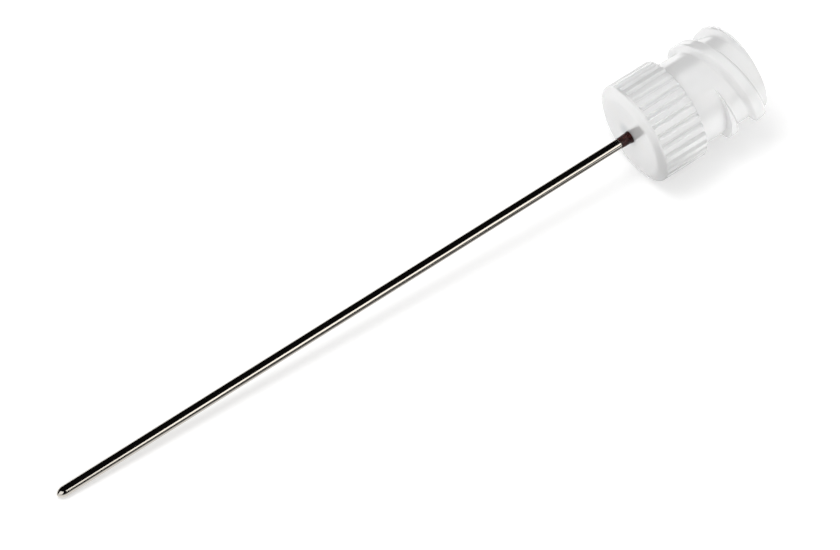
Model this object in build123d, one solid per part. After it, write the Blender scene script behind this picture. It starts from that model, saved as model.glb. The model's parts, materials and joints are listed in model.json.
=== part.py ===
from build123d import *
from math import acos, atan, atan2, cos, degrees, hypot, radians, sin, sqrt, tan
import os

# A hollow needle with a closed, rounded point, bonded into a moulded hub that locks onto a tapered fitting.
# It lies as it comes to rest, on the tip and on the front corners of two lands of the grip, with the floor
# at Z = 0.
# Each piece is drawn in the needle's own frame, in millimetres: Z is its axis, zero at the hub's front
# face and positive towards the rear, and X and Y become the row's +Y and, nearly, its +Z.

# Steel tube, with a stretch ground slightly smaller where the adhesive grips it
tube_outside_diameter = 0.82
tube_inside_diameter = 0.51
tube_exposed_length = 50.8
tube_end_stand_out = 0.9
tube_end_break = 0.03
tube_ground_depth = 0.006
tube_ground_margin = 0.1

# Closed point, and the port behind it on the side away from the viewer
point_length = 0.7
point_nose_radius = 0.1
point_solid_past_shoulder = 0.3
port_length = 1.0
port_width = 0.34
port_setback = 0.2
port_azimuth = -60.0

# Hub, outside
grip_diameter = 8.0
grip_length = 4.13
grip_bevel_width = 0.75
grip_bevel_length = 0.5
grip_rear_break = 0.1
neck_diameter = 6.72
neck_length = 2.2
neck_root_radius = 0.25
rear_edge_radius = 0.15

# Flutes of the grip, open at both ends, with a chord of the grip's circle for their width
flute_count = 30
flute_depth = 0.27
flute_width = 0.44
flute_floor_width = 0.2
flute_azimuth = 126.0

# Locking thread: right-handed, from a plane behind the neck to the rear edge
thread_starts = 2
thread_lead = 5.0
thread_length = 3.67
thread_crest_diameter = 7.84
thread_base_width = 1.36
thread_crest_width = 0.78
thread_flank_offset = 1.09
thread_azimuth = 120.6
thread_end_radius = 0.75
thread_root_sink = 0.3

# Tapered socket, with its taper given on the diameter
socket_mouth_diameter = 4.3
socket_taper = 0.06
socket_depth = 7.5
socket_mouth_break = 0.1
socket_floor_radius = 0.3

# Bond between the tube and its seat, with a collar in front of the hub
bond_gap = 0.06
collar_length = 0.6
collar_flare = 0.02
collar_lip = 0.02

# How far the thread and the cutters run past what they are cut to or cut
cut_overrun = 0.2

# Values that follow from the driving ones
tube_radius = tube_outside_diameter / 2
lumen_radius = tube_inside_diameter / 2
ground_radius = tube_radius - tube_ground_depth
ground_run = collar_length + tube_ground_margin
seat_radius = ground_radius + bond_gap
grip_radius = grip_diameter / 2
land_edge_height = sqrt(grip_radius**2 - (flute_width / 2) ** 2)
neck_radius = neck_diameter / 2
thread_crest_radius = thread_crest_diameter / 2
thread_plane_z = grip_length + neck_length
hub_length = thread_plane_z + thread_length
socket_mouth_radius = socket_mouth_diameter / 2
socket_half_angle = atan(socket_taper / 2)
socket_end_radius = socket_mouth_radius - socket_depth * tan(socket_half_angle)
socket_floor_z = hub_length - socket_depth
tube_rear_z = socket_floor_z + tube_end_stand_out
tip_z = -tube_exposed_length
shoulder_z = tip_z + point_length
lumen_start_z = shoulder_z + point_solid_past_shoulder
port_middle_z = lumen_start_z + lumen_radius + port_setback + port_length / 2


def on_arc(centre, radius, angle):
    """A point on a circle in the meridian plane, from the angle against the radial direction."""
    return (centre[0] + radius * cos(angle), centre[1] + radius * sin(angle))


def point_arcs():
    """The two tangent arcs of the closed point: the ogive's and the nose's, as centre and radius."""
    nose = (0.0, tip_z + point_nose_radius)
    run = point_length - point_nose_radius
    ogive_radius = (run**2 + tube_radius**2 - point_nose_radius**2) / (2 * (tube_radius - point_nose_radius))
    ogive = (tube_radius - ogive_radius, shoulder_z)
    return ogive, ogive_radius, nose


def make_cannula():
    """Steel tube: closed ogive point, lumen with a round end, a side port, and the stretch to bond."""
    ogive, ogive_radius, nose = point_arcs()
    join_angle = atan2(nose[1] - ogive[1], nose[0] - ogive[0])
    join = on_arc(ogive, ogive_radius, join_angle)
    nose_middle = on_arc(nose, point_nose_radius, (join_angle - radians(90)) / 2)
    ogive_middle = on_arc(ogive, ogive_radius, join_angle / 2)
    lumen_end = (0.0, lumen_start_z + lumen_radius)
    lumen_middle = on_arc(lumen_end, lumen_radius, -radians(45))
    with BuildPart() as tube:
        with BuildSketch(Plane.XZ):
            with BuildLine():
                ThreePointArc((0.0, tip_z), nose_middle, join)
                ThreePointArc(join, ogive_middle, (tube_radius, shoulder_z))
                Polyline(
                    (tube_radius, shoulder_z),
                    (tube_radius, -ground_run),
                    (ground_radius, 0.0),
                    (ground_radius, tube_rear_z - tube_end_break),
                    (ground_radius - tube_end_break, tube_rear_z),
                    (lumen_radius, tube_rear_z),
                    (lumen_radius, lumen_end[1]),
                )
                ThreePointArc((lumen_radius, lumen_end[1]), lumen_middle, (0.0, lumen_start_z))
                Line((0.0, lumen_start_z), (0.0, tip_z))
            make_face()
        revolve(axis=Axis.Z)
        outwards = (cos(radians(port_azimuth)), sin(radians(port_azimuth)), 0)
        with BuildSketch(Plane(origin=(0, 0, port_middle_z), x_dir=(0, 0, 1), z_dir=outwards)):
            SlotOverall(port_length, port_width)
        extrude(amount=tube_outside_diameter, mode=Mode.SUBTRACT)
    return tube.part


def hub_body():
    """The hub's body, without thread or flutes: one outline turned about the axis."""
    eighth_turn = radians(45)
    root = (neck_radius + neck_root_radius, grip_length + neck_root_radius)
    rear = (neck_radius - rear_edge_radius, hub_length - rear_edge_radius)
    floor_turn = radians(90) - socket_half_angle
    floor = (
        socket_end_radius - socket_floor_radius * tan(floor_turn / 2),
        socket_floor_z + socket_floor_radius,
    )
    wall_end = on_arc(floor, socket_floor_radius, -socket_half_angle)
    floor_middle = on_arc(floor, socket_floor_radius, -socket_half_angle - floor_turn / 2)
    throat_z = hub_length - socket_mouth_break
    throat_radius = socket_mouth_radius - socket_mouth_break * tan(socket_half_angle)
    with BuildPart() as body:
        with BuildSketch(Plane.XZ):
            with BuildLine():
                Polyline(
                    (seat_radius, 0),
                    (grip_radius - grip_bevel_width, 0),
                    (grip_radius, grip_bevel_length),
                    (grip_radius, grip_length - grip_rear_break),
                    (grip_radius - grip_rear_break, grip_length),
                    (root[0], grip_length),
                )
                root_middle = on_arc(root, neck_root_radius, -3 * eighth_turn)
                ThreePointArc((root[0], grip_length), root_middle, (neck_radius, root[1]))
                Line((neck_radius, root[1]), (neck_radius, rear[1]))
                rear_middle = on_arc(rear, rear_edge_radius, eighth_turn)
                ThreePointArc((neck_radius, rear[1]), rear_middle, (rear[0], hub_length))
                Polyline(
                    (rear[0], hub_length),
                    (socket_mouth_radius + socket_mouth_break, hub_length),
                    (throat_radius, throat_z),
                    wall_end,
                )
                ThreePointArc(wall_end, floor_middle, (floor[0], socket_floor_z))
                Polyline((floor[0], socket_floor_z), (seat_radius, socket_floor_z), (seat_radius, 0))
            make_face()
        revolve(axis=Axis.Z)
    return body.part


def thread_ridge(start_index):
    """One start of the thread: ruled helical faces between four rails, running past both of its ends."""
    root_radius = neck_radius - thread_root_sink
    flank_slope = (thread_base_width - thread_crest_width) / 2 / (thread_crest_radius - neck_radius)
    half_root = thread_base_width / 2 + thread_root_sink * flank_slope
    half_crest = thread_crest_width / 2
    first_z = thread_plane_z - half_root - cut_overrun
    rise = hub_length + half_root + cut_overrun - first_z
    corners = [
        (root_radius, -half_root),
        (thread_crest_radius, -half_crest),
        (thread_crest_radius, half_crest),
        (root_radius, half_root),
    ]
    rails = [Edge.make_helix(thread_lead, rise, radius).moved(Location((0, 0, z))) for radius, z in corners]
    sides = [Face.make_surface_from_curves(rail, rails[i - 1]) for i, rail in enumerate(rails)]
    caps = [Face(Wire.make_polygon([rail @ end for rail in rails], close=True)) for end in (0, 1)]
    middle_z = thread_plane_z + thread_flank_offset + thread_base_width / 2
    turns_before = (middle_z - first_z) / thread_lead + start_index / thread_starts
    start_azimuth = thread_azimuth - 360 * turns_before
    return Location((0, 0, first_z), (0, 0, start_azimuth)) * Solid(Shell(sides + caps))


def thread_envelope():
    """A ring that the ridges are cut to: the plane behind the neck, the crest, its run-down at the rear."""
    inside = (neck_radius + socket_mouth_radius) / 2
    end = (thread_crest_radius - thread_end_radius, hub_length - thread_end_radius)
    with BuildPart() as envelope:
        with BuildSketch(Plane.XZ):
            with BuildLine():
                Polyline(
                    (end[0], hub_length),
                    (inside, hub_length),
                    (inside, thread_plane_z),
                    (thread_crest_radius, thread_plane_z),
                    (thread_crest_radius, end[1]),
                )
                end_middle = on_arc(end, thread_end_radius, radians(45))
                ThreePointArc((thread_crest_radius, end[1]), end_middle, (end[0], hub_length))
            make_face()
        revolve(axis=Axis.Z)
    return envelope.part


def flute_cutter():
    """A tapered groove that runs past both ends of the grip, with its sides carried outwards."""
    floor_height = grip_radius - flute_depth
    side_slope = (flute_width - flute_floor_width) / (land_edge_height - floor_height)
    top_width = flute_width + cut_overrun * side_slope
    with BuildPart() as cutter:
        with BuildSketch(Plane.XY.offset(-cut_overrun)):
            Polygon(
                (floor_height, -flute_floor_width / 2),
                (land_edge_height + cut_overrun, -top_width / 2),
                (land_edge_height + cut_overrun, top_width / 2),
                (floor_height, flute_floor_width / 2),
                align=None,
            )
        extrude(amount=grip_length + 2 * cut_overrun)
    return cutter.part


def make_hub():
    """Moulded hub: body, fluted grip, double-start thread and tapered socket."""
    envelope = thread_envelope()
    hub = hub_body()
    for start_index in range(thread_starts):
        hub += thread_ridge(start_index) & envelope
    cutter = flute_cutter()
    hub -= [Rotation(0, 0, flute_azimuth + i * 360 / flute_count) * cutter for i in range(flute_count)]
    return hub


def make_bond():
    """Adhesive: a sleeve that fills the seat, and a hollow-sided collar on the front face."""
    front_radius = ground_radius + tube_ground_depth * collar_length / ground_run
    collar_radius = seat_radius + collar_flare
    with BuildPart() as bond:
        with BuildSketch(Plane.XZ):
            with BuildLine():
                TangentArc((front_radius + collar_lip, -collar_length), (collar_radius, 0), tangent=(0, 1))
                Polyline(
                    (collar_radius, 0),
                    (seat_radius, 0),
                    (seat_radius, socket_floor_z),
                    (ground_radius, socket_floor_z),
                    (ground_radius, 0),
                    (front_radius, -collar_length),
                    (front_radius + collar_lip, -collar_length),
                )
            make_face()
        revolve(axis=Axis.Z)
    return bond.part


def lying_plane():
    """Where the needle's frame lies in the row: the floor touches two land corners and the point's ogive."""
    ogive, ogive_radius, _ = point_arcs()
    across = land_edge_height - ogive[0]
    along = grip_bevel_length - ogive[1]
    tilt = acos(ogive_radius / hypot(across, along)) - atan2(along, across)
    height = land_edge_height * cos(tilt) - grip_bevel_length * sin(tilt)
    return Plane(origin=(0, 0, height), x_dir=(0, 1, 0), z_dir=(cos(tilt), 0, sin(tilt))), tilt


def main():
    plane, tilt = lying_plane()
    pieces = {"cannula": make_cannula(), "hub": make_hub(), "adhesive_bond": make_bond()}
    placed = {name: plane.location * piece for name, piece in pieces.items()}
    boxes = [piece.bounding_box() for piece in placed.values()]
    middle = (min(box.min.X for box in boxes) + max(box.max.X for box in boxes)) / 2
    os.makedirs("parts", exist_ok=True)
    for name, piece in placed.items():
        export_step(Location((-middle, 0, 0)) * piece, f"parts/{name}.step")
    print(f"axis rises {degrees(tilt):.3f} degrees, front face at {-middle:.4f}, {plane.origin.Z:.4f}")


main()
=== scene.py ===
import json
import math
import bpy
from mathutils import Matrix, Vector


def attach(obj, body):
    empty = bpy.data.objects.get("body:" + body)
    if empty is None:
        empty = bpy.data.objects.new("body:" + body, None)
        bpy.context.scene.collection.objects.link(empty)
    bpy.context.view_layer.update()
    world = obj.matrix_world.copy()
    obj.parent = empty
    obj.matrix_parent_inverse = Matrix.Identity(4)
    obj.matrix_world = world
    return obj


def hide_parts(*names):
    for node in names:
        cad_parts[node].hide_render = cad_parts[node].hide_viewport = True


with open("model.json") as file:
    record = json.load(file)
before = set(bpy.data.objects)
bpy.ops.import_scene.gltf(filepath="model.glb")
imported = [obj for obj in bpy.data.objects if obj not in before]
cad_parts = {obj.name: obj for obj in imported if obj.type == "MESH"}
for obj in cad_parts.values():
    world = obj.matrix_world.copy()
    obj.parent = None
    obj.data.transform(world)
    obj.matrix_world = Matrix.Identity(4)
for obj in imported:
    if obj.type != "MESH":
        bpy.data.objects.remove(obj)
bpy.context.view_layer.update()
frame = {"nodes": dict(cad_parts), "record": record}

print("stage: frame loaded,", len(frame["nodes"]), "nodes")

# The needle's own frame: Z along its axis, zero at the hub's front face and positive towards the rear
mm = 0.001
mounts = {mount["name"]: mount for mount in frame["record"]["mounts"]}
hubLength = 10.0 * mm
rearward = Vector(mounts["tapered_socket"]["axis"]).normalized()
hubFace = Vector(mounts["tapered_socket"]["pos_m"]) - rearward * hubLength
sideways = Vector((0, 1, 0))
upward = rearward.cross(sideways)
needlePlace = Matrix.Translation(hubFace) @ Matrix((sideways, upward, rearward)).transposed().to_4x4()

onAxis = 1e-9       # metres: an outline's point nearer to the axis is a pole


# Shared helpers: directions, outlines turned about the axis, and node trees

def direction(azimuth, elevation):
    # Degrees, azimuth from the front and positive to the right
    turn, rise = math.radians(azimuth), math.radians(elevation)
    return Vector((math.sin(turn) * math.cos(rise), -math.cos(turn) * math.cos(rise), math.sin(rise)))


def cornerArc(before, corner, after, radius, steps):
    into = (before - corner).normalized()
    away = (after - corner).normalized()
    halfAngle = into.angle(away) / 2
    middle = corner + (into + away).normalized() * (radius / math.sin(halfAngle))
    reach = radius / math.tan(halfAngle)
    first = (corner + into * reach - middle).normalized()
    last = (corner + away * reach - middle).normalized()
    return [middle + first.slerp(last, i / steps) * radius for i in range(steps + 1)]


def roundedOutline(corners, arcSteps=1):
    # A corner is (radius, z, corner radius, longest step on the way to the next corner)
    places = [Vector((radius, 0, z)) for radius, z, _, _ in corners]
    outline = []
    for i, (_, _, cornerRadius, longest) in enumerate(corners):
        place = places[i]
        if cornerRadius > 0:
            arc = cornerArc(places[i - 1], place, places[(i + 1) % len(places)], cornerRadius, arcSteps)
        else:
            arc = [place]
        outline.append((arc, longest))
    points = []
    for i, (arc, longest) in enumerate(outline):
        points.extend(arc)
        following = outline[(i + 1) % len(outline)][0][0]
        if longest > 0:
            steps = math.ceil((following - arc[-1]).length / longest)
            points.extend(arc[-1].lerp(following, k / steps) for k in range(1, steps))
    return points


def turnedMesh(name, outline, angles, closed):
    # The outline is turned about Z. An open one starts and ends on the axis.
    vertices, faces, rings = [], [], []
    for point in outline:
        if point.x < onAxis:
            rings.append([len(vertices)] * len(angles))
            vertices.append((0, 0, point.z))
        else:
            rings.append(list(range(len(vertices), len(vertices) + len(angles))))
            vertices.extend((point.x * math.cos(a), point.x * math.sin(a), point.z) for a in angles)
    pairs = list(zip(rings, rings[1:])) + ([(rings[-1], rings[0])] if closed else [])
    for lower, upper in pairs:
        for i in range(len(angles)):
            j = (i + 1) % len(angles)
            faces.append(list(dict.fromkeys((lower[i], upper[i], upper[j], lower[j]))))
    mesh = bpy.data.meshes.new(name)
    mesh.from_pydata(vertices, [], faces)
    mesh.update()
    return mesh


def storePointValues(mesh, name, chosen):
    values = [1.0 if chosen(vertex.co) else 0.0 for vertex in mesh.vertices]
    mesh.attributes.new(name, "FLOAT", "POINT").data.foreach_set("value", values)


def evenAngles(count):
    return [2 * math.pi * i / count for i in range(count)]


# The sockets of a colour mix share their names with those for numbers and vectors
colorMixInputs = (0, 6, 7)
colorMixOutput = 2


class Tree:
    # Short calls for a node tree: a value is a socket, a number, a vector or a colour
    def __init__(self, tree):
        self.tree = tree

    def node(self, kind, values=None, **settings):
        node = self.tree.nodes.new(kind)
        for name, value in settings.items():
            setattr(node, name, value)
        for name, value in (values or {}).items():
            self.feed(node.inputs[name], value)
        return node

    def feed(self, socket, value):
        if isinstance(value, bpy.types.NodeSocket):
            self.tree.links.new(value, socket)
        else:
            socket.default_value = value

    def math(self, operation, *values):
        node = self.node("ShaderNodeMath", operation=operation)
        for socket, value in zip(node.inputs, values):
            self.feed(socket, value)
        return node.outputs[0]

    def mapped(self, value, low, high, first, last, interpolation="SMOOTHSTEP"):
        node = self.node("ShaderNodeMapRange", interpolation_type=interpolation)
        for socket, part in zip(node.inputs, (value, low, high, first, last)):
            self.feed(socket, part)
        return node.outputs[0]

    def fromAxis(self, x, y):
        squares = self.math("ADD", self.math("POWER", x, 2.0), self.math("POWER", y, 2.0))
        return self.math("SQRT", squares)

    def apart(self, vector):
        return self.node("ShaderNodeSeparateXYZ", {"Vector": vector}).outputs

    def stored(self, name):
        return self.node("GeometryNodeInputNamedAttribute", {"Name": name}, data_type="FLOAT").outputs[0]

    def blend(self, share, first, second):
        node = self.node("ShaderNodeMix", data_type="RGBA")
        for socket, value in zip(colorMixInputs, (share, first, second)):
            self.feed(node.inputs[socket], value)
        return node.outputs[colorMixOutput]


def newGroup(kind, name, inputs, outputs):
    group = bpy.data.node_groups.new(name, kind)
    for socketName, socketKind, value in inputs:
        socket = group.interface.new_socket(socketName, in_out="INPUT", socket_type=socketKind)
        if value is not None:
            socket.default_value = value
    for socketName, socketKind in outputs:
        group.interface.new_socket(socketName, in_out="OUTPUT", socket_type=socketKind)
    tree = Tree(group)
    return tree, tree.node("NodeGroupInput").outputs, tree.node("NodeGroupOutput").inputs


def applyGroup(name, mesh, group, values, sharpAngle):
    # Runs a geometry group on the mesh and returns the finished object, placed in the row
    draft = bpy.data.objects.new(name + "Draft", mesh)
    bpy.context.collection.objects.link(draft)
    modifier = draft.modifiers.new(name, "NODES")
    modifier.node_group = group
    for item in group.interface.items_tree:
        if item.in_out == "INPUT" and item.name in values:
            modifier[item.identifier] = values[item.name]
    shown = draft.evaluated_get(bpy.context.evaluated_depsgraph_get())
    finished = bpy.data.meshes.new_from_object(shown)
    finished.name = name
    bpy.data.objects.remove(draft)
    finished.transform(needlePlace)
    finished.shade_smooth()
    finished.set_sharp_from_angle(angle=sharpAngle)
    piece = bpy.data.objects.new(name, finished)
    bpy.context.collection.objects.link(piece)
    return piece


def dress(piece, node):
    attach(piece, "root")
    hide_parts(node)


def finishGeometry(tree, geometry, material, output):
    realized = tree.node("GeometryNodeRealizeInstances", {"Geometry": geometry})
    coated = tree.node("GeometryNodeSetMaterial", {"Geometry": realized.outputs[0], "Material": material})
    tree.feed(output, coated.outputs[0])


def newMaterial(name):
    material = bpy.data.materials.new(name)
    material.use_nodes = True
    tree = Tree(material.node_tree)
    return material, tree, material.node_tree.nodes["Principled BSDF"]


# Materials

noiseRange = (0.3, 0.7)     # nearly all of a noise's values


def fineMarksGroup():
    # Marks left by making: drawing lines on steel, the mould's grain on plastic, streaks in adhesive
    tree, given, taken = newGroup("ShaderNodeTree", "fineMarks", [
        ("Place", "NodeSocketVector", None),
        ("Grain", "NodeSocketVector", (1, 1, 1)),
        ("Seed", "NodeSocketFloat", 0.0),
        ("Detail", "NodeSocketFloat", 2.0),
        ("Low", "NodeSocketFloat", 0.0),
        ("High", "NodeSocketFloat", 1.0),
    ], [("Marks", "NodeSocketFloat"), ("Value", "NodeSocketFloat")])
    stretched = tree.node("ShaderNodeVectorMath", {
        0: given["Place"], 1: given["Grain"],
    }, operation="MULTIPLY")
    noise = tree.node("ShaderNodeTexNoise", {
        "Vector": stretched.outputs[0], "W": given["Seed"], "Scale": 1.0, "Detail": given["Detail"],
    }, noise_dimensions="4D")
    marks = tree.mapped(noise.outputs[0], *noiseRange, 0.0, 1.0)
    tree.feed(taken["Marks"], marks)
    tree.feed(taken["Value"], tree.mapped(marks, 0.0, 1.0, given["Low"], given["High"], "LINEAR"))
    return tree.tree


fineMarks = fineMarksGroup()


def needleCoordinates(tree):
    # Object coordinates turned into the needle's own frame
    turned = needlePlace.inverted()
    place = tree.node("ShaderNodeTexCoord").outputs["Object"]
    return tree.node("ShaderNodeMapping", {
        "Vector": place, "Location": turned.to_translation(), "Rotation": turned.to_euler(),
    }).outputs[0]


def addMarks(tree, setup):
    node = tree.node("ShaderNodeGroup", node_tree=fineMarks)
    tree.feed(node.inputs["Place"], needleCoordinates(tree))
    for name, value in setup.items():
        tree.feed(node.inputs[name], value)
    return node.outputs["Marks"], node.outputs["Value"]


def addRelief(tree, surface, marks, depth):
    bump = tree.node("ShaderNodeBump", {"Height": marks, "Distance": depth, "Strength": 1.0})
    tree.feed(surface.inputs["Normal"], bump.outputs[0])


def grain(across, along):
    # Marks in a metre, across the needle's axis and along it
    return (1 / across, 1 / across, 1 / along)


steelFinish = {
    "color": (0.64, 0.605, 0.555, 1),
    "drawingLines": {"Grain": grain(0.05 * mm, 6 * mm), "Seed": 1.0, "Low": 0.07, "High": 0.13},
    "lineDepth": 0.0004 * mm,
}
plasticFinish = {
    "paleColor": (0.945, 0.953, 0.966, 1),
    "warmColor": (0.952, 0.948, 0.94, 1),
    "cloudiness": {"Grain": grain(2.5 * mm, 2.5 * mm), "Seed": 5.0, "Detail": 1.0},
    "mouldGrain": {"Grain": grain(0.12 * mm, 0.12 * mm), "Seed": 2.0, "Low": 0.17, "High": 0.24},
    "grainDepth": 0.001 * mm,
    "indexOfRefraction": 1.49,
    "clearShare": 0.26,
    "milkDepth": 1.0 * mm,
    # Painted shade: grey painted into the plastic around a line beside the axis, for the tube seen through it
    "paintedShadeColor": (0.72, 0.75, 0.78, 1),
    "paintedShadeAside": 0.3 * mm,                 # from the axis to the middle of the shade, towards the back
    "paintedShadeReach": (0.3 * mm, 1.3 * mm),     # full as far as the first, gone at the second
}
adhesiveFinish = {
    "darkColor": (0.004, 0.002, 0.002, 1),
    "redColor": (0.05, 0.006, 0.004, 1),
    "streaks": {"Grain": grain(0.25 * mm, 0.5 * mm), "Seed": 4.0, "Low": 0.15, "High": 0.35},
}


def addSteel(finish):
    material, tree, surface = newMaterial("polishedSteel")
    marks, roughness = addMarks(tree, finish["drawingLines"])
    tree.feed(surface.inputs["Base Color"], finish["color"])
    tree.feed(surface.inputs["Metallic"], 1.0)
    tree.feed(surface.inputs["Roughness"], roughness)
    addRelief(tree, surface, marks, finish["lineDepth"])
    return material


def addPlastic(finish):
    material, tree, surface = newMaterial("milkyPlastic")
    clouds, _ = addMarks(tree, finish["cloudiness"])
    mouldMarks, roughness = addMarks(tree, finish["mouldGrain"])
    milky = tree.blend(clouds, finish["paleColor"], finish["warmColor"])
    # A painted pale grey shade stands in for the darkening where the tube and the adhesive are seen faintly
    # through the plastic
    place = tree.apart(needleCoordinates(tree))
    aside = tree.math("SUBTRACT", place["X"], finish["paintedShadeAside"])
    paintedShade = tree.mapped(tree.fromAxis(aside, place["Y"]), *finish["paintedShadeReach"], 1.0, 0.0)
    tree.feed(surface.inputs["Base Color"], tree.blend(paintedShade, milky, finish["paintedShadeColor"]))
    tree.feed(surface.inputs["Roughness"], roughness)
    tree.feed(surface.inputs["IOR"], finish["indexOfRefraction"])
    tree.feed(surface.inputs["Transmission Weight"], finish["clearShare"])
    tree.feed(surface.inputs["Subsurface Weight"], 1.0)
    tree.feed(surface.inputs["Subsurface Scale"], finish["milkDepth"])
    tree.feed(surface.inputs["Subsurface Radius"], (1.0, 1.0, 1.0))
    addRelief(tree, surface, mouldMarks, finish["grainDepth"])
    return material


def addAdhesive(finish):
    material, tree, surface = newMaterial("amberAdhesive")
    streaks, roughness = addMarks(tree, finish["streaks"])
    amber = tree.blend(streaks, finish["darkColor"], finish["redColor"])
    tree.feed(surface.inputs["Base Color"], amber)
    tree.feed(surface.inputs["Roughness"], roughness)
    return material


steel = addSteel(steelFinish)
plastic = addPlastic(plasticFinish)
adhesive = addAdhesive(adhesiveFinish)
print("stage: materials")


# Steel tube: closed rounded point, lumen, and a port on the side away from the viewer

tubeShape = {
    "outsideRadius": 0.41 * mm,
    "lumenRadius": 0.255 * mm,
    "boundRadius": 0.404 * mm,
    "groundRun": 0.7 * mm,
    "exposedLength": 50.8 * mm,
    "rearZ": 3.4 * mm,
    "endBreak": 0.03 * mm,
    "pointLength": 0.64 * mm,
    "noseRadius": 0.17 * mm,
    "solidPastShoulder": 0.36 * mm,
    "arcSteps": 24,
    "lengthStep": 0.8 * mm,
    "portStep": 0.08 * mm,
    "portSetback": 0.2 * mm,            # before the port, and the same with fine steps behind it
    "segments": 96,
    "sharpAngle": math.radians(35),
}
portRule = {
    "port length": 1.0 * mm,
    "port width": 0.34 * mm,
    "port azimuth": math.radians(-60),
    "end rounding": 0.499,              # of the width: a full round would be 0.5
    "end steps": 10,
}
lumenStart = -tubeShape["exposedLength"] + tubeShape["pointLength"] + tubeShape["solidPastShoulder"]
portStart = lumenStart + tubeShape["lumenRadius"] + tubeShape["portSetback"]


def straightRun(radius, first, last, longest):
    # Points of an outline along the axis, without the first
    count = math.ceil(abs(last - first) / longest)
    return [Vector((radius, 0, first + (last - first) * k / count)) for k in range(1, count + 1)]


def arcRun(middle, radius, first, last, steps):
    # Points of an outline on an arc, without the first
    turns = [first + (last - first) * k / steps for k in range(1, steps + 1)]
    return [middle + radius * Vector((math.cos(turn), 0, math.sin(turn))) for turn in turns]


def tubeOutline(shape):
    # The ogive's arc is tangent to the tube and to the nose's arc
    tipZ = -shape["exposedLength"]
    shoulderZ = tipZ + shape["pointLength"]
    noseRadius, outside = shape["noseRadius"], shape["outsideRadius"]
    run = shape["pointLength"] - noseRadius
    ogiveRadius = (run**2 + outside**2 - noseRadius**2) / (2 * (outside - noseRadius))
    nose = Vector((0, 0, tipZ + noseRadius))
    ogive = Vector((outside - ogiveRadius, 0, shoulderZ))
    joinAngle = math.atan2(nose.z - ogive.z, nose.x - ogive.x)
    bound, rearZ, lumen = shape["boundRadius"], shape["rearZ"], shape["lumenRadius"]
    lumenEnd = Vector((0, 0, lumenStart + lumen))
    finelyTo = portStart + portRule["port length"] + shape["portSetback"]
    points = [Vector((0, 0, tipZ))]
    points += arcRun(nose, noseRadius, -math.pi / 2, joinAngle, shape["arcSteps"])
    points += arcRun(ogive, ogiveRadius, joinAngle, 0, shape["arcSteps"])
    points += straightRun(outside, shoulderZ, finelyTo, shape["portStep"])
    points += straightRun(outside, finelyTo, -shape["groundRun"], shape["lengthStep"])
    points.append(Vector((bound, 0, 0)))
    points.append(Vector((bound, 0, rearZ - shape["endBreak"])))
    points.append(Vector((bound - shape["endBreak"], 0, rearZ)))
    points.append(Vector((lumen, 0, rearZ)))
    points += straightRun(lumen, rearZ, finelyTo, shape["lengthStep"])
    points += straightRun(lumen, finelyTo, lumenEnd.z, shape["portStep"])
    points += arcRun(lumenEnd, lumen, 0, -math.pi / 2, shape["arcSteps"] // 2)
    points[-1].x = 0
    return points


def portGroup():
    tree, given, taken = newGroup("GeometryNodeTree", "sidePort", [
        ("Geometry", "NodeSocketGeometry", None),
        ("port middle", "NodeSocketFloat", 0.0),
        ("port length", "NodeSocketFloat", 0.0),
        ("port width", "NodeSocketFloat", 0.0),
        ("port azimuth", "NodeSocketFloat", 0.0),
        ("end rounding", "NodeSocketFloat", 0.5),
        ("end steps", "NodeSocketInt", 1),
        ("reach", "NodeSocketFloat", 0.0),
        ("coat", "NodeSocketMaterial", None),
    ], [("Geometry", "NodeSocketGeometry")])
    start = tree.node("ShaderNodeCombineXYZ", {"Z": given["port middle"]}).outputs[0]
    across = tree.math("MULTIPLY", given["reach"], tree.math("COSINE", given["port azimuth"]))
    upwards = tree.math("MULTIPLY", given["reach"], tree.math("SINE", given["port azimuth"]))
    end = tree.node("ShaderNodeCombineXYZ", {
        "X": across, "Y": upwards, "Z": given["port middle"],
    }).outputs[0]
    path = tree.node("GeometryNodeCurvePrimitiveLine", {"Start": start, "End": end}).outputs[0]
    slot = tree.node("GeometryNodeCurvePrimitiveQuadrilateral", {
        "Width": given["port width"], "Height": given["port length"],
    }).outputs[0]
    ends = tree.node("GeometryNodeFilletCurve", {
        "Curve": slot,
        "Count": given["end steps"],
        "Radius": tree.math("MULTIPLY", given["port width"], given["end rounding"]),
    }, mode="POLY").outputs[0]
    cutter = tree.node("GeometryNodeCurveToMesh", {"Curve": path, "Profile Curve": ends, "Fill Caps": True})
    cut = tree.node("GeometryNodeMeshBoolean", operation="DIFFERENCE", solver="EXACT")
    tree.feed(cut.inputs["Mesh 1"], given["Geometry"])
    tree.feed(cut.inputs["Mesh 2"], cutter.outputs[0])
    finishGeometry(tree, cut.outputs["Mesh"], given["coat"], taken[0])
    return tree.tree


def addTube():
    angles = evenAngles(tubeShape["segments"])
    mesh = turnedMesh("tubeDraft", tubeOutline(tubeShape), angles, closed=False)
    values = {
        **portRule,
        "port middle": portStart + portRule["port length"] / 2,
        "reach": 2 * tubeShape["outsideRadius"],
        "coat": steel,
    }
    piece = applyGroup("steelTube", mesh, portGroup(), values, tubeShape["sharpAngle"])
    dress(piece, "cannula")
    return piece


tube = addTube()
print("stage: tube,", len(tube.data.polygons), "faces")


# Moulded hub: bevelled and fluted grip, neck, double-start thread and tapered socket

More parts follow.
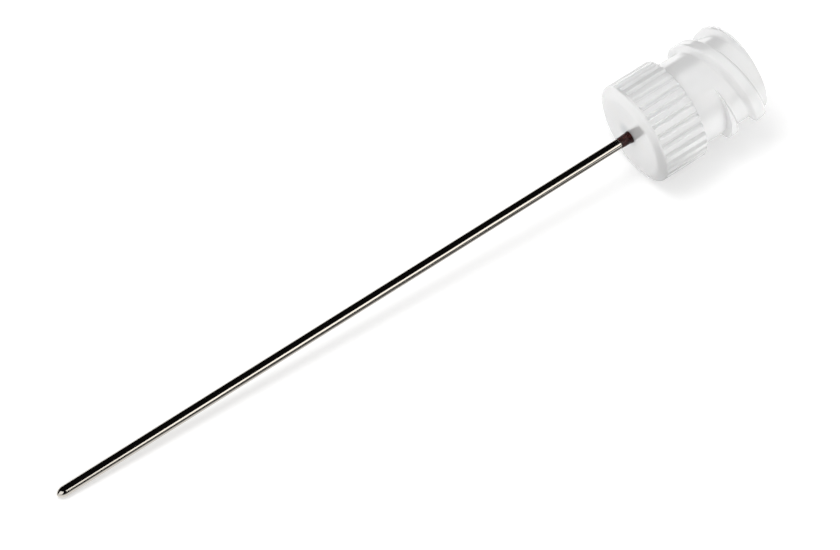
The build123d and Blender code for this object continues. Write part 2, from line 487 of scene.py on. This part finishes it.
hubShape = {
    "seatRadius": 0.464 * mm,
    "gripRadius": 4.0 * mm,
    "bevelWidth": 0.75 * mm,
    "bevelLength": 0.38 * mm,
    "gripLength": 4.13 * mm,
    "fluteStart": 0.51 * mm,
    "fluteEndWall": 0.1 * mm,
    "neckRadius": 3.36 * mm,
    "threadPlane": 6.33 * mm,
    "ridgePastPlane": 1.77 * mm,
    "mouthRadius": 2.15 * mm,
    "mouthBreak": 0.1 * mm,
    "socketDepth": 7.5 * mm,
    "socketTaper": 0.06,                # of the diameter
    "faceEdgeRadius": 1.0 * mm,
    "bevelEdgeRadius": 0.2 * mm,
    "gripRearRadius": 0.1 * mm,
    "neckRootRadius": 0.25 * mm,
    "rearRadius": 0.15 * mm,
    "floorRadius": 0.3 * mm,
    "planeWall": 0.03 * mm,
    "arcSteps": 5,
    "columnsPerFlute": 20,
    "columnCrowding": 0.45,
    "sharpAngle": math.radians(40),
}
# The longest steps between rings, named after the stretch that they divide
hubSteps = {
    "face": 0.7 * mm,
    "bevel": 0.1 * mm,
    "fluteEnd": hubShape["fluteEndWall"] / 5,
    "grip": 0.5 * mm,
    "gripRear": 0.12 * mm,
    "neck": 0.6 * mm,
    "thread": 0.055 * mm,
    "rear": 0.5 * mm,
    "socket": 0.8 * mm,
    "floor": 0.6 * mm,
    "seat": 0.8 * mm,
}
hubRule = {
    "flute count": 30,
    "flute azimuth": math.radians(126),
    "flute depth": 0.27 * mm,
    "flute floor": 0.2 * mm,
    "flute width": 0.44 * mm,
    "flute start": hubShape["fluteStart"],
    "flute end wall": hubShape["fluteEndWall"],
    "grip radius": hubShape["gripRadius"],
    "thread lead": 5.0 * mm,
    "thread starts": 2,
    "thread azimuth": math.radians(120.6),
    "thread middle": hubShape["threadPlane"] + hubShape["ridgePastPlane"],
    "ridge base": 1.5 * mm,
    "ridge crest": 0.68 * mm,
    "neck radius": hubShape["neckRadius"],
    "crest radius": 3.92 * mm,
    "thread plane": hubShape["threadPlane"],
    "plane wall": hubShape["planeWall"],
    "end radius": 0.75 * mm,
    "hub length": hubLength,
}


def hubOutline(shape, steps):
    grip, neck, plane = shape["gripRadius"], shape["neckRadius"], shape["threadPlane"]
    slope = shape["socketTaper"] / 2
    mouth = shape["mouthRadius"] + shape["mouthBreak"]
    throat = shape["mouthRadius"] - shape["mouthBreak"] * slope
    socketEnd = shape["mouthRadius"] - shape["socketDepth"] * slope
    socketFloor = hubLength - shape["socketDepth"]
    return roundedOutline([
        (shape["seatRadius"], 0, 0, steps["face"]),
        (grip - shape["bevelWidth"], 0, shape["faceEdgeRadius"], steps["bevel"]),
        (grip, shape["bevelLength"], shape["bevelEdgeRadius"], 0),
        (grip, shape["fluteStart"], 0, steps["fluteEnd"]),
        (grip, shape["fluteStart"] + shape["fluteEndWall"], 0, steps["grip"]),
        (grip, shape["gripLength"], shape["gripRearRadius"], steps["gripRear"]),
        (neck, shape["gripLength"], shape["neckRootRadius"], steps["neck"]),
        (neck, plane, 0, 0),
        (neck, plane + shape["planeWall"], 0, steps["thread"]),
        (neck, hubLength, shape["rearRadius"], steps["rear"]),
        (mouth, hubLength, 0, 0),
        (throat, hubLength - shape["mouthBreak"], 0, steps["socket"]),
        (socketEnd, socketFloor, shape["floorRadius"], steps["floor"]),
        (shape["seatRadius"], socketFloor, 0, steps["seat"]),
    ], shape["arcSteps"])


def fluteAngles(shape, count, azimuth):
    # The columns crowd together at the flutes
    pitch = 2 * math.pi / count
    crowding, columns = shape["columnCrowding"], shape["columnsPerFlute"]
    angles = []
    for flute in range(count):
        for k in range(columns):
            place = 2 * k / columns - 1
            angles.append(azimuth + pitch * (flute + place * (1 - crowding + crowding * place**2) / 2))
    return angles


def fluteAndThreadGroup():
    numbers = [(name, "NodeSocketFloat", 0.0) for name in hubRule]
    tree, given, taken = newGroup("GeometryNodeTree", "fluteAndThread", [
        ("Geometry", "NodeSocketGeometry", None), *numbers, ("coat", "NodeSocketMaterial", None),
    ], [("Geometry", "NodeSocketGeometry")])
    place = tree.apart(tree.node("GeometryNodeInputPosition").outputs[0])
    angle = tree.math("ARCTAN2", place["Y"], place["X"])
    radius = tree.fromAxis(place["X"], place["Y"])

    # Flutes: distance from the middle of the nearest one, measured on the grip's circle
    halfPitch = tree.math("DIVIDE", math.pi, given["flute count"])
    fromFlute = tree.math("WRAP", tree.math("SUBTRACT", angle, given["flute azimuth"]), halfPitch,
                          tree.math("MULTIPLY", halfPitch, -1.0))
    aside = tree.math("MULTIPLY", tree.math("ABSOLUTE", fromFlute), given["grip radius"])
    groove = tree.mapped(aside, tree.math("DIVIDE", given["flute floor"], 2.0),
                         tree.math("DIVIDE", given["flute width"], 2.0), given["flute depth"], 0.0)
    pastStart = tree.math("SUBTRACT", place["Z"], given["flute start"])
    opened = tree.mapped(pastStart, 0.0, given["flute end wall"], 0.0, 1.0)
    groove = tree.math("MULTIPLY", groove, opened)
    fluted = tree.math("MINIMUM", radius, tree.math("SUBTRACT", given["grip radius"], groove))

    # Thread: distance along the axis from the middle of the nearest ridge
    turns = tree.math("DIVIDE", tree.math("SUBTRACT", angle, given["thread azimuth"]), 2 * math.pi)
    ridgeMiddle = tree.math("ADD", given["thread middle"], tree.math("MULTIPLY", turns, given["thread lead"]))
    halfStep = tree.math("DIVIDE", given["thread lead"], tree.math("MULTIPLY", given["thread starts"], 2.0))
    fromRidge = tree.math("WRAP", tree.math("SUBTRACT", place["Z"], ridgeMiddle), halfStep,
                          tree.math("MULTIPLY", halfStep, -1.0))
    crestHalf = tree.math("DIVIDE", given["ridge crest"], 2.0)
    baseHalf = tree.math("DIVIDE", given["ridge base"], 2.0)
    ridge = tree.mapped(tree.math("ABSOLUTE", fromRidge), crestHalf, baseHalf,
                        given["crest radius"], given["neck radius"])

    # The ridges begin at a plane and run down on a quarter round at the rear edge
    pastPlane = tree.math("SUBTRACT", place["Z"], given["thread plane"])
    begun = tree.math("MAXIMUM", tree.math("DIVIDE", pastPlane, given["plane wall"]), 0.0)
    height = tree.math("SUBTRACT", ridge, given["neck radius"])
    risen = tree.math("MULTIPLY", height, tree.math("MINIMUM", begun, 1.0))
    endMiddle = tree.math("SUBTRACT", given["hub length"], given["end radius"])
    pastEnd = tree.math("MAXIMUM", tree.math("SUBTRACT", place["Z"], endMiddle), 0.0)
    left = tree.math("SUBTRACT", tree.math("POWER", given["end radius"], 2.0),
                     tree.math("POWER", pastEnd, 2.0))
    runDown = tree.math("ADD", tree.math("SUBTRACT", given["crest radius"], given["end radius"]),
                        tree.math("SQRT", tree.math("MAXIMUM", left, 0.0)))
    ridged = tree.math("MINIMUM", runDown, tree.math("ADD", given["neck radius"], risen))
    threaded = tree.math("MAXIMUM", radius, ridged)

    onGrip = tree.math("MULTIPLY", tree.stored("onGrip"), tree.math("SUBTRACT", fluted, radius))
    onThread = tree.math("MULTIPLY", tree.stored("onThread"), tree.math("SUBTRACT", threaded, radius))
    growth = tree.math("ADD", 1.0, tree.math("DIVIDE", tree.math("ADD", onGrip, onThread), radius))
    moved = tree.node("ShaderNodeCombineXYZ", {
        "X": tree.math("MULTIPLY", place["X"], growth),
        "Y": tree.math("MULTIPLY", place["Y"], growth),
        "Z": place["Z"],
    }).outputs[0]
    shaped = tree.node("GeometryNodeSetPosition", {
        "Geometry": given["Geometry"], "Position": moved,
    }).outputs[0]
    finishGeometry(tree, shaped, given["coat"], taken[0])
    return tree.tree


def addHub():
    angles = fluteAngles(hubShape, hubRule["flute count"], hubRule["flute azimuth"])
    mesh = turnedMesh("hubDraft", hubOutline(hubShape, hubSteps), angles, closed=True)
    wall = (hubShape["neckRadius"] + hubShape["mouthRadius"]) / 2
    gripEnd = (hubShape["gripLength"] + hubShape["threadPlane"]) / 2
    storePointValues(mesh, "onGrip", lambda place: place.z < gripEnd and place.xy.length > wall)
    storePointValues(mesh, "onThread", lambda place: place.z > gripEnd and place.xy.length > wall)
    values = {name: float(value) for name, value in hubRule.items()}
    values["coat"] = plastic
    piece = applyGroup("mouldedHub", mesh, fluteAndThreadGroup(), values, hubShape["sharpAngle"])
    dress(piece, "hub")
    return piece


hub = addHub()
print("stage: hub,", len(hub.data.polygons), "faces")


# Adhesive: sleeve in the seat and a thin collar that creeps along the tube

bondShape = {
    "innerRadius": 0.404 * mm,
    "outerRadius": 0.464 * mm,
    "socketFloor": 2.5 * mm,
    "filmLength": 0.98 * mm,
    "filmRadius": 0.417 * mm,
    "collarLength": 0.3 * mm,
    "collarRadius": 0.432 * mm,
    "footRadius": 0.484 * mm,
    "collarStep": 0.05 * mm,
    "sleeveStep": 0.6 * mm,
    "segments": 96,
    "sharpAngle": math.radians(40),
}
bondRule = {"unevenness": 0.012 * mm, "grain": 1.0 / (0.9 * mm), "seed": 3.0}


def creepGroup():
    tree, given, taken = newGroup("GeometryNodeTree", "creepingEdge", [
        ("Geometry", "NodeSocketGeometry", None),
        ("unevenness", "NodeSocketFloat", 0.0),
        ("grain", "NodeSocketFloat", 1.0),
        ("seed", "NodeSocketFloat", 0.0),
        ("coat", "NodeSocketMaterial", None),
    ], [("Geometry", "NodeSocketGeometry")])
    noise = tree.node("ShaderNodeTexNoise", {
        "Scale": given["grain"], "W": given["seed"], "Detail": 1.0,
    }, noise_dimensions="4D").outputs[0]
    unevenly = tree.math("MULTIPLY", tree.math("SUBTRACT", noise, 0.5), given["unevenness"])
    push = tree.math("MULTIPLY", unevenly, tree.stored("onCollar"))
    normal = tree.node("GeometryNodeInputNormal").outputs[0]
    offset = tree.node("ShaderNodeVectorMath", {0: normal, "Scale": push}, operation="SCALE").outputs[0]
    shaped = tree.node("GeometryNodeSetPosition", {
        "Geometry": given["Geometry"], "Offset": offset,
    }).outputs[0]
    finishGeometry(tree, shaped, given["coat"], taken[0])
    return tree.tree


def addBond():
    shape = bondShape
    outline = roundedOutline([
        (shape["filmRadius"], -shape["filmLength"], 0, shape["collarStep"]),
        (shape["collarRadius"], -shape["collarLength"], 0, shape["collarStep"]),
        (shape["footRadius"], 0, 0, 0),
        (shape["outerRadius"], 0, 0, shape["sleeveStep"]),
        (shape["outerRadius"], shape["socketFloor"], 0, 0),
        (shape["innerRadius"], shape["socketFloor"], 0, shape["sleeveStep"]),
        (shape["innerRadius"], -shape["filmLength"], 0, 0),
    ])
    mesh = turnedMesh("bondDraft", outline, evenAngles(shape["segments"]), closed=True)
    filmMiddle = (shape["innerRadius"] + shape["filmRadius"]) / 2
    storePointValues(mesh, "onCollar", lambda place: place.z < 0 and place.xy.length > filmMiddle)
    values = {**bondRule, "coat": adhesive}
    piece = applyGroup("adhesiveBond", mesh, creepGroup(), values, shape["sharpAngle"])
    dress(piece, "adhesive_bond")
    return piece


bond = addBond()
print("stage: adhesive,", len(bond.data.polygons), "faces")


# Camera

cameraSetup = {
    "azimuth": -35.65,
    "elevation": 53.2,
    "distance": 0.61,
    "pixelsPerMetre": 13700,      # at the hub's front face
    "imageWidth": 840,
    "imageHeight": 550,
    "hubFacePixel": (629.9, 136.85),
    "sensorWidth": 36,
    "clipStart": 0.05,
    "clipEnd": 20,
}


def addCamera(setup):
    back = direction(setup["azimuth"], setup["elevation"])
    right = Vector((0, 0, 1)).cross(back).normalized()
    up = back.cross(right)
    acrossPixels = setup["hubFacePixel"][0] - setup["imageWidth"] / 2
    upPixels = setup["imageHeight"] / 2 - setup["hubFacePixel"][1]
    aim = hubFace - (right * acrossPixels + up * upPixels) / setup["pixelsPerMetre"]
    data = bpy.data.cameras.new("camera")
    data.sensor_width = setup["sensorWidth"]
    data.lens = setup["pixelsPerMetre"] * setup["distance"] * setup["sensorWidth"] / setup["imageWidth"]
    data.clip_start, data.clip_end = setup["clipStart"], setup["clipEnd"]
    camera = bpy.data.objects.new("camera", data)
    turned = Matrix((right, up, back)).transposed().to_4x4()
    camera.matrix_world = Matrix.Translation(aim + back * setup["distance"]) @ turned
    bpy.context.collection.objects.link(camera)
    bpy.context.scene.camera = camera


addCamera(cameraSetup)
bpy.context.scene.view_settings.view_transform = "Standard"
print("stage: camera")


# Floor, world and lamps

floorSetup = {
    "side": 6.0,
    "glow": 0.373,
    "color": (0.76, 0.76, 0.76, 1),
    "nearFront": 0.3 * mm,
    "farFront": 4.5 * mm,
    "farShine": 0.09,
    "besideHub": (2 * mm, 6 * mm),      # behind the hub's front face
}
worldSetup = {"light": 0.58, "overhead": 0.004}
lampSetup = {
    "softTop": {
        "azimuth": 235, "elevation": 73, "distance": 0.5, "size": (0.24, 0.24),
        "power": 0.9, "color": (1, 1, 1), "mirrored": False,
    },
    "leftCard": {
        "azimuth": -68, "elevation": 30, "distance": 0.5, "size": (0.6, 0.5),
        "power": 1.1, "color": (1, 1, 1), "mirrored": True, "mirroredOnly": True,
    },
    "frontSoft": {
        "azimuth": 15, "elevation": 14, "distance": 0.5, "size": (0.4, 0.2),
        "power": 0.4, "color": (1, 1, 1), "mirrored": False,
    },
    "frontStrip": {
        "azimuth": 18, "elevation": 33, "distance": 0.5, "size": (0.12, 0.28),
        "power": 0.17, "color": (1, 0.98, 0.94), "mirrored": True,
    },
}


def mirrorShare(tree, path):
    # 1 for a mirrored ray and 0 for any other
    notThrough = tree.math("SUBTRACT", 1.0, path["Is Transmission Ray"])
    return tree.math("MULTIPLY", path["Is Glossy Ray"], notThrough)


def addFloor(setup):
    half = setup["side"] / 2
    mesh = bpy.data.meshes.new("floor")
    corners = [(-half, -half, 0), (half, -half, 0), (half, half, 0), (-half, half, 0)]
    mesh.from_pydata(corners, [], [(0, 1, 2, 3)])
    material, tree, surface = newMaterial("whiteTable")
    material.node_tree.nodes.remove(surface)
    output = material.node_tree.nodes["Material Output"]
    plain = tree.node("ShaderNodeBsdfDiffuse", {"Color": setup["color"]})
    path = tree.node("ShaderNodeLightPath").outputs
    # The table glows where it is seen, directly, mirrored or through something, and lights nothing by it
    sentOn = tree.math("ADD", path["Is Glossy Ray"], path["Is Transmission Ray"])
    seen = tree.math("MINIMUM", tree.math("ADD", path["Is Camera Ray"], sentOn), 1.0)
    glow = tree.node("ShaderNodeEmission", {"Strength": tree.math("MULTIPLY", seen, setup["glow"])})
    # Polished metal mirrors the table beside the tube as white, and darker further to the front
    place = tree.apart(tree.node("ShaderNodeTexCoord").outputs["Object"])
    ahead = tree.math("MULTIPLY", place["Y"], -1.0)
    fade = tree.mapped(ahead, setup["nearFront"], setup["farFront"], 0.0, 1.0 - setup["farShine"])
    fadeFrom, fadeTo = (hubFace.x + reach for reach in setup["besideHub"])
    beforeHub = tree.mapped(place["X"], fadeFrom, fadeTo, 1.0, 0.0)
    dimming = tree.math("MULTIPLY", mirrorShare(tree, path), tree.math("MULTIPLY", fade, beforeHub))
    black = tree.node("ShaderNodeEmission", {"Strength": 0.0})
    bright = tree.node("ShaderNodeAddShader", {0: plain.outputs[0], 1: glow.outputs[0]})
    mixed = tree.node("ShaderNodeMixShader", {0: dimming, 1: bright.outputs[0], 2: black.outputs[0]})
    tree.feed(output.inputs["Surface"], mixed.outputs[0])
    mesh.materials.append(material)
    floor = bpy.data.objects.new("floor", mesh)
    bpy.context.collection.objects.link(floor)


def addWorld(setup):
    world = bpy.data.worlds.new("world")
    bpy.context.scene.world = world
    world.use_nodes = True
    tree = Tree(world.node_tree)
    background = world.node_tree.nodes["Background"]
    path = tree.node("ShaderNodeLightPath").outputs
    # White where it is seen, dimmer as a light, and nearly black where metal mirrors it
    clear = tree.math("MINIMUM", tree.math("ADD", path["Is Camera Ray"], path["Is Transmission Ray"]), 1.0)
    lit = tree.math("ADD", setup["light"], tree.math("MULTIPLY", clear, 1.0 - setup["light"]))
    mirrored = mirrorShare(tree, path)
    dark = tree.math("MULTIPLY", mirrored, setup["overhead"])
    plain = tree.math("MULTIPLY", tree.math("SUBTRACT", 1.0, mirrored), lit)
    tree.feed(background.inputs["Strength"], tree.math("ADD", dark, plain))
    tree.feed(background.inputs["Color"], (1, 1, 1, 1))


def addLamp(name, setup):
    toLamp = direction(setup["azimuth"], setup["elevation"])
    data = bpy.data.lights.new(name, "AREA")
    data.shape = "RECTANGLE"
    data.size, data.size_y = setup["size"]
    data.energy = setup["power"]
    data.color = setup["color"]
    lamp = bpy.data.objects.new(name, data)
    lamp.location = toLamp * setup["distance"]
    lamp.rotation_euler = toLamp.to_track_quat("Z", "Y").to_euler()
    lamp.visible_glossy = setup["mirrored"]
    lamp.visible_diffuse = not setup.get("mirroredOnly", False)
    lamp.visible_transmission = lamp.visible_diffuse
    bpy.context.collection.objects.link(lamp)


addFloor(floorSetup)
addWorld(worldSetup)
for lampName, setup in lampSetup.items():
    addLamp(lampName, setup)
print("stage: floor, world and lamps")
